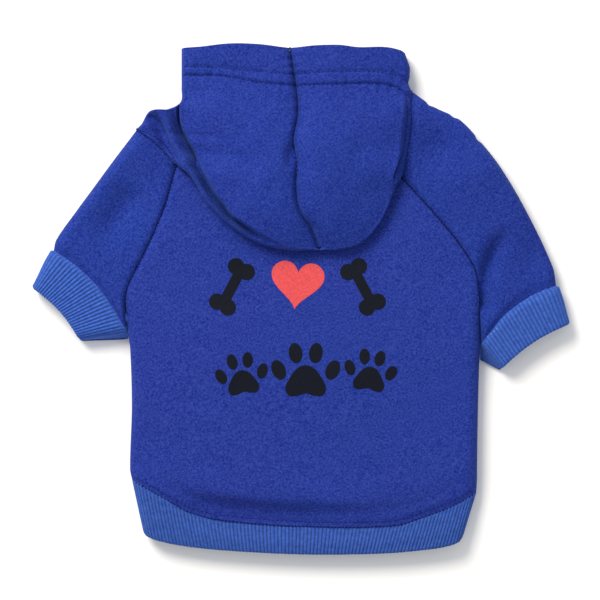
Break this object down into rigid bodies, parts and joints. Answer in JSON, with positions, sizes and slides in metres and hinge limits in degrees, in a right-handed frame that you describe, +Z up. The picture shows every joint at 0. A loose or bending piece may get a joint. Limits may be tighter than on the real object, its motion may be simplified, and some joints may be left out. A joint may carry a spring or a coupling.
{
  "type": "dog hoodie",
  "caption": "Small dog's fleece hoodie with raglan sleeves, rib knit cuffs and hem band, lying belly down with its hood folded over the back.",
  "frame": {"origin": "middle of the laid hoodie's bounding box, on the surface that it lies on", "axes": "+X across the body towards the right sleeve as seen from above, +Y towards the hood's mouth, +Z up"},
  "size_m": [0.311, 0.2942, 0.0272],
  "materials": {
    "fleece": "brushed royal blue fleece",
    "rib_knit": "one by one rib knit, a lighter blue"
  },
  "bodies": {
    "root": {"back_panel": "fleece", "belly_panel": "fleece", "sleeve_left": "fleece", "sleeve_right": "fleece", "hood_left": "fleece", "hood_right": "fleece", "cuff_left": "rib_knit", "cuff_right": "rib_knit", "hem_band": "rib_knit"}
  },
  "joints": []
}
